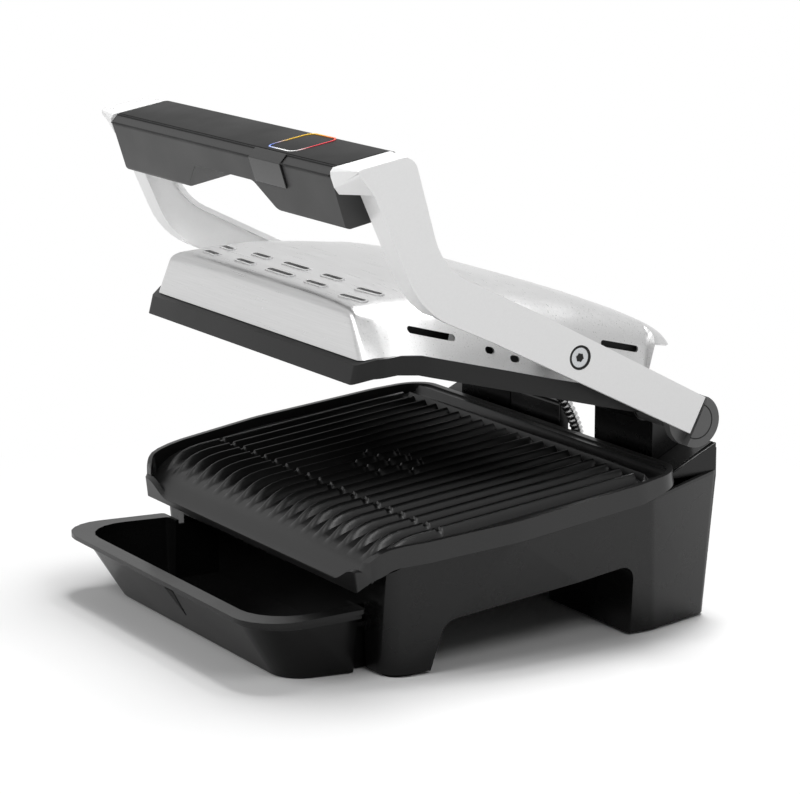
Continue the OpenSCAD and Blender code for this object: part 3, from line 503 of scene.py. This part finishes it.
def ring_about_x(inner, outer, x0, x1, turn=360, steps=48):
    """A flat ring of square section about the X axis in millimetres, spun from below."""
    bm = bmesh.new()
    corners = [bm.verts.new((x, 0, -r)) for x, r in ((x0, inner), (x1, inner), (x1, outer), (x0, outer))]
    section = bm.faces.new(corners)
    if turn < 360:
        bmesh.ops.spin(bm, geom=[section], axis=(1, 0, 0), cent=(0, 0, 0), angle=math.radians(turn), steps=steps,
                       use_duplicate=False)
    else:
        loop = section.edges[:]
        bmesh.ops.delete(bm, geom=[section], context="FACES_ONLY")
        bmesh.ops.spin(bm, geom=loop, axis=(1, 0, 0), cent=(0, 0, 0), angle=math.radians(turn), steps=steps,
                       use_merge=True)
    bmesh.ops.recalc_face_normals(bm, faces=bm.faces[:])
    return bm


def both_sides(bm):
    """A bmesh and its mirror image across the middle of the grill."""
    other = bm.copy()
    bmesh.ops.scale(other, vec=(-1, 1, 1), verts=other.verts)
    bmesh.ops.recalc_face_normals(other, faces=other.faces[:])
    return joined(bm, other)


def placed(bm, matrix):
    """The bmesh moved by a matrix, from a local frame in millimetres to the shared one or to another."""
    bmesh.ops.transform(bm, matrix=matrix, verts=bm.verts)
    return bm


def cut_by(bm, cutters):
    """The bmesh with the cutters taken out of it."""
    objects = []
    for n, part in enumerate((bm, joined(*cutters))):
        mesh = bpy.data.meshes.new("cut")
        part.to_mesh(mesh)
        part.free()
        objects.append(bpy.data.objects.new("cut%d" % n, mesh))
        scene.collection.objects.link(objects[-1])
    taking = objects[0].modifiers.new("cut", "BOOLEAN")
    taking.operation, taking.object, taking.solver = "DIFFERENCE", objects[1], "EXACT"
    result = bmesh.new()
    result.from_mesh(objects[0].evaluated_get(bpy.context.evaluated_depsgraph_get()).to_mesh())
    for leftover in objects:
        bpy.data.objects.remove(leftover)
    return result


hinge_place, arm_tilt = (0, 138, 152.467), math.radians(-27.4)
pivot_place, lid_tilt = (0, 42.484, 205.92), math.radians(-14.2)
in_arm = MM @ Matrix.Translation(hinge_place) @ Matrix.Rotation(arm_tilt, 4, "X")
in_lid = MM @ Matrix.Translation(pivot_place) @ Matrix.Rotation(lid_tilt, 4, "X")
half_width = 185
groove = ring_about_x(6.5, 8.3, half_width - 0.7, half_width + 1)
arms = cut_by(copied("arm_right", "arm_left"), [placed(both_sides(groove), in_lid)])
piece("arms", arms, "arm_frame", silver, bevel=1.8, segments=4, angle=22, stands_for=["arm_right", "arm_left"])

# --- Hinge caps and pivot screws ---
# Grey moulded caps close the ends of the hinge, with a turned circle on each. A steel screw with a
# star recess, in a black washer, carries the lid in each arm.
# moulded ABS, a mid grey with a satin face
cap_abs = plastic("grey_ABS_satin", "#565656", 0.35)
piece("hinge_end_caps", copied("hinge_caps"), "arm_frame", cap_abs, bevel=0.8, stands_for=["hinge_caps"])
finish_nodes(matt_abs, "hinge_washers", "lid_bushes")
cap_line = ring_about_x(11.5, 12.3, half_width - 0.6, half_width - 0.3, turn=180)
piece("hinge_cap_lines", placed(both_sides(cap_line), in_arm), "arm_frame", matt_abs, slot="deck_plastic")
washer = ring_about_x(6.6, 8.2, half_width - 0.8, half_width - 0.1)
piece("pivot_washers", placed(both_sides(washer), in_lid), "arm_frame", matt_abs, slot="deck_plastic")
# the star recess in each screw head is a flat dark star laid on the head: painted shade for the hollow
star = bmesh.new()
bmesh.ops.create_circle(star, cap_ends=True, segments=12, radius=3.3)
for n, vert in enumerate(star.verts):
    vert.co *= 0.7 if n % 2 else 1
thicken(star, (0, 0, 0.25))
bmesh.ops.rotate(star, matrix=Matrix.Rotation(math.radians(90), 3, "Y"), verts=star.verts)
bmesh.ops.translate(star, vec=(half_width - 0.62, 0, 0), verts=star.verts)
piece("pivot_star_recess_painted_shade", placed(both_sides(star), in_lid), "lid", matt_abs, slot="deck_plastic")

# --- Handle ---
# A deep grip of grey nylon between the arms. A black panel covers its top, with a bezel strip
# along the front, a smoked clear tab over the display and a coloured light ring.
in_handle = in_arm @ Matrix.Translation((0, -(244.5 + 74.8), 46.3)) @ Matrix.Rotation(math.radians(37.5), 4, "X")
# glass-filled nylon: dark grey and dull
nylon = plastic("grey_nylon_matt", "#363636", 0.5, grain_mm=0.8, depth=0.08, specular=0.4)
# satin ABS for the strip under the panel
strip_abs = plastic("dark_grey_ABS_satin", "#242424", 0.32)
# moulded ABS: deep black, its reflections kept low because the photograph shows it dark
panel_abs = plastic("black_ABS_panel_gloss", "#0e0e0e", 0.3, grain_mm=4, depth=0.01, speckle=0.05, specular=0.04)
# smoked polycarbonate, glossy and a little lighter than what it covers
smoked = plastic("smoked_polycarbonate", "#282828", 0.15, grain_mm=6, depth=0.01, specular=0.4)
piece("handle_grip", copied("handle_housing"), "arm_frame", nylon, bevel=1.4, segments=4,
      stands_for=["handle_housing"])
piece("handle_panel", copied("handle_cover"), "arm_frame", panel_abs, bevel=0.8, stands_for=["handle_cover"])
piece("handle_strip", copied("handle_bezel"), "arm_frame", strip_abs, bevel=0.6, stands_for=["handle_bezel"])
piece("display_tab", copied("display_band"), "arm_frame", smoked, bevel=0.4, stands_for=["display_band"])
seam_r = 0.65
seams = []
for p, q, reach in ((-0.35, -0.75, 156.5), (-5.9, -5.1, 157.2)):
    seam = bmesh.new()
    bmesh.ops.create_cone(seam, cap_ends=True, segments=10, radius1=seam_r, radius2=seam_r, depth=2 * reach)
    bmesh.ops.rotate(seam, matrix=Matrix.Rotation(math.radians(90), 3, "Y"), verts=seam.verts)
    bmesh.ops.translate(seam, vec=(0, p, q), verts=seam.verts)
    seams.append(seam)
piece("handle_seams", placed(joined(*seams), in_handle), "arm_frame", matt_abs, slot="deck_plastic")

# the light ring: a moulded diffuser whose colour runs blue, yellow, orange, red and white
ring_ends = [(56, 4, 7), (93, 4, 7), (93, 40, 7), (56, 40, 7)]
ring_x, ring_y, ring_w, ring_t = 74.5, 22, 1.1, 0.4
light_ring = outline(ring_ends, steps=8)
bmesh.ops.inset_region(light_ring, faces=light_ring.faces[:], thickness=ring_w, use_boundary=True,
                       use_even_offset=True)
bmesh.ops.delete(light_ring, geom=[max(light_ring.faces, key=lambda f: f.calc_area())], context="FACES")
sliced(light_ring, 0, (60, 65, 70, 75, 80, 85, 90))
sliced(light_ring, 1, (8, 13, 18, 22, 26, 31, 36))
thicken(light_ring, (0, 0, ring_t))
ring_hues = [(-180, "#f2c230"), (-140, "#3a6fd8"), (-95, "#e8e8e8"), (-40, "#e8e8e8"), (-15, "#d8283a"),
             (35, "#d8283a"), (80, "#f08a2a"), (140, "#f2c230"), (180, "#f2c230")]
hue = light_ring.verts.layers.float_color.new("ring_colour")
for vert in light_ring.verts:
    angle = math.degrees(math.atan2(vert.co.y - ring_y, vert.co.x - ring_x))
    for (a, low), (b, high) in zip(ring_hues, ring_hues[1:]):
        if a <= angle <= b:
            share = (angle - a) / (b - a)
            vert[hue] = [m + (n - m) * share for m, n in zip(linear(low), linear(high))]
bmesh.ops.translate(light_ring, vec=(0, 0, -ring_t / 2), verts=light_ring.verts)
diffuser, tree = new_material("tinted_PMMA_light_ring")
tint = add(tree, "ShaderNodeAttribute", attribute_name="ring_colour")
shader = add(tree, "ShaderNodeBsdfPrincipled", {
    "Base Color": tint.outputs["Color"], "Roughness": 0.25, "Emission Color": tint.outputs["Color"],
    "Emission Strength": 0.35})
add(tree, "ShaderNodeOutputMaterial", {"Surface": shader.outputs[0]})
piece("light_ring", placed(light_ring, in_handle), "arm_frame", diffuser, stands_for=["display_lens"])

# --- Lid ---
# A pressed and brushed metal shell with a crowned top stands on a black plastic band. Two rows of
# slots with raised lips vent its front, and a slot and two holes its sides.
# band: satin black plastic
band_abs = plastic("black_PBT_satin", "#121212", 0.36, grain_mm=0.9, depth=0.08, specular=0.3)
piece("lid_band", copied("lid_frame"), "lid", band_abs, bevel=0.9, stands_for=["lid_frame"])
finish_nodes(coat, "upper_plate")

# where the shell meets the band, the crown along the middle, how far the sides fall from it, half
# the top's width, how round its shoulder is, and half the foot's width, all from front to rear
seat = [(-146, -33.4), (-134, -26), (-120, -20.5), (-106, -18), (79.3, -18), (80.3, 16), (130, 16)]
crown = [(-150, 3), (-141, 6), (-134, 8.4), (-120, 14), (-90, 24), (-60, 30), (-20, 36), (18, 38), (50, 36),
         (79, 32.5), (100, 29), (112, 26)]
side_fall = [(-146, 3), (-100, 8), (-30, 12), (20, 12), (80, 7), (104, 5)]
top_width = [(-146, 129), (-100, 137), (-30, 146), (20, 152), (80, 147.5), (106, 125)]
shoulder = [(-141, 8), (-118, 12), (-60, 17), (0, 20), (112, 9)]
half_widths = [(-140.3, 147), (-127, 157), (-97, 163.5), (20, 166.5), (82, 154), (112, 130)]
shell_middle, shell_t = -8, 1.5


def shell_top(x, u):
    """Height of the lid's top over its pivots."""
    return along(crown, u) - along(side_fall, u) * min(1.2, abs(x) / along(top_width, u)) ** 4


shell = outline(mirrored([(146, -140.3, 9), (157, -127, 18), (163.5, -97, 60), (166.5, 20, 200),
                          (154, 82, 30), (130, 112, 26)]), steps=6)
sliced(shell, 0, range(-144, 145, 9))
sliced(shell, 1, [*range(-132, 76, 8), 79.2, 80.4, 88, 96])
bmesh.ops.dissolve_faces(shell, faces=shell.faces[:], use_verts=False)
bmesh.ops.delete(shell, geom=shell.faces[:], context="FACES_ONLY")
foot_x = shell.verts.layers.float.new("foot_x")
foot_u = shell.verts.layers.float.new("foot_u")
for vert in shell.verts:
    vert[foot_x], vert[foot_u] = vert.co.x, vert.co.y
    vert.co.z = along(seat, vert.co.y)


def shell_point(x_foot, u_foot, stage):
    """A point up the wall (stage 0 to 1), round the shoulder (1 to 2) or over the top (2 to 3)."""
    foot = Vector((x_foot, u_foot, along(seat, u_foot)))
    forward, back = min(1, max(0, (-u_foot - 118) / 20)), min(1, max(0, (u_foot - 98) / 12))
    u_edge = u_foot - 5.7 * forward - 6 * back
    x_edge = x_foot * along(top_width, u_edge) / max(along(half_widths, u_foot), 1)
    edge = Vector((x_edge, u_edge, shell_top(x_edge, u_edge)))
    r = along(shoulder, u_foot)
    below = edge + (foot - edge) * min(0.75, r / (foot - edge).length)
    share = 1 - r / 135

    def over(k):
        x, u = x_edge * k, shell_middle + (u_edge - shell_middle) * k
        return Vector((x, u, shell_top(x, u)))

    if stage <= 1:
        return foot + (below - foot) * stage
    if stage <= 2:
        t = stage - 1
        return below * (1 - t) ** 2 + edge * 2 * t * (1 - t) + over(share) * t * t
    return over(share * (3 - stage))


edges = shell.edges[:]
for stage in (0.35, 0.7, 1, 1.17, 1.34, 1.5, 1.67, 1.84, 2, 2.05, 2.1, 2.16, 2.23, 2.31, 2.4, 2.5, 2.6, 2.7,
              2.8, 2.9, 2.96):
    grown = bmesh.ops.extrude_edge_only(shell, edges=edges)["geom"]
    edges = [g for g in grown if isinstance(g, bmesh.types.BMEdge)]
    for vert in (g for g in grown if isinstance(g, bmesh.types.BMVert)):
        vert.co = shell_point(vert[foot_x], vert[foot_u], stage)
bmesh.ops.edgenet_fill(shell, edges=edges)
bmesh.ops.recalc_face_normals(shell, faces=shell.faces[:])
if sum(face.normal.z for face in shell.faces) < 0:
    bmesh.ops.reverse_faces(shell, faces=shell.faces[:])
over_shell = BVHTree.FromBMesh(shell)


def slot_outline(long, wide, steps=6):
    """A slot with round ends, flat, lying along X."""
    r = wide / 2 - 0.01
    return outline([(-long / 2, -wide / 2, r), (long / 2, -wide / 2, r), (long / 2, wide / 2, r),
                    (-long / 2, wide / 2, r)], steps=steps)


def on_top(x, u):
    """A frame that stands on the shell's top at a place, its Z along the surface's normal."""
    hit, normal, _, _ = over_shell.ray_cast(Vector((x, u, 120)), Vector((0, 0, -1)))
    return Matrix.Translation(hit) @ normal.to_track_quat("Z", "Y").to_matrix().to_4x4()


vent_w, lip_w, lip_t, vent_pitch, vent_depth = 4, 1.6, 1.6, 50, 14
vents = []
for n in range(-2, 3):
    long = 33 if n == 0 else 23
    vents += [(9 + n * vent_pitch, -133, long), (3 + n * vent_pitch, -118, long)]
cutters, lips = [], []
for x, u, long in vents:
    place = on_top(x, u)
    cutter = thicken(slot_outline(long, vent_w), (0, 0, vent_depth))
    bmesh.ops.translate(cutter, vec=(0, 0, -vent_depth / 2), verts=cutter.verts)
    cutters.append(placed(cutter, place))
    lip = slot_outline(long + 3, vent_w + 3)
    bmesh.ops.inset_region(lip, faces=lip.faces[:], thickness=lip_w, use_boundary=True, use_even_offset=True)
    bmesh.ops.delete(lip, geom=[max(lip.faces, key=lambda f: f.calc_area())], context="FACES")
    thicken(lip, (0, 0, lip_t))
    bmesh.ops.translate(lip, vec=(0, 0, -lip_t / 2), verts=lip.verts)
    lips.append(placed(lip, place))
for side in (-1, 1):
    for u, w, long in ((-95, -4, 33), (-53, -7.5, 7), (-34, -10, 7), (52, 10, 34)):
        cutter = thicken(slot_outline(long, 4.4), (0, 0, 60))
        bmesh.ops.rotate(cutter, matrix=Matrix.Rotation(math.radians(90), 3, "Z"), verts=cutter.verts)
        bmesh.ops.rotate(cutter, matrix=Matrix.Rotation(math.radians(90), 3, "Y"), verts=cutter.verts)
        bmesh.ops.translate(cutter, vec=(130 if side > 0 else -190, u, w), verts=cutter.verts)
        cutters.append(cutter)
# dark sheets just inside the side slots: painted shade standing for the lid's dark inside seen through them
slot_shade_sheets = bmesh.new()
for side in (-1, 1):
    for x, u, w, long in ((139, -93, -7, 38), (144, -44, -9, 36), (146, 52, 9, 42)):
        bmesh.ops.create_cube(slot_shade_sheets, size=1, matrix=Matrix.Translation((side * x, u, w)) @ Matrix.Diagonal(
            (0.8, long, 10, 1)))
bmesh.ops.solidify(shell, geom=shell.faces[:], thickness=shell_t)
bmesh.ops.recalc_face_normals(shell, faces=shell.faces[:])
shell = cut_by(shell, cutters)
# brushed metal: light, with fine strokes across the lid that break up its highlights
brushed = metal("brushed_anodised_aluminium", "#d4d4d4", 0.32, along_mm=40, across_mm=0.9, depth=0.025,
                metallic=0.78, vary=0.05)
piece("lid_top_shell", placed(shell, in_lid), "lid", brushed, angle=40, stands_for=["lid_shell"])
piece("lid_side_slot_painted_shade", placed(slot_shade_sheets, in_lid), "lid", matt_abs, slot="deck_plastic")
piece("lid_vent_lips", placed(joined(*lips), in_lid), "lid", brushed, bevel=0.5, segments=2,
      slot="brushed_shell")

# --- Conduit ---
# A ribbed silver conduit carries the lid heater's wires from the deck up behind the hinge.
# plated steel strip wound into a tube
wound_steel = metal("wound_plated_steel_strip", "#cfcfcf", 0.25, along_mm=3, across_mm=0.6)
ribbed = copied("cable_conduit")
bmesh.ops.subdivide_edges(ribbed, edges=ribbed.edges[:], cuts=1, smooth=0.6, use_grid_fill=True)
conduit = piece("wire_conduit", ribbed, None, wound_steel, angle=60, stands_for=["cable_conduit"])
# it leaves the deck straight up and follows the arms at the lid's rear edge
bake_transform(conduit)

# --- Latch spring ---
# A small coil of zinc-plated steel wire behind the lower release button, which in the grill shortens as the button
# is pressed in; here it keeps its shape and gets a mesh of its own.
spring = piece("latch_spring", copied("lower_latch_spring"), "base", zinc, stands_for=["lower_latch_spring"])
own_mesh(spring)

low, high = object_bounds()
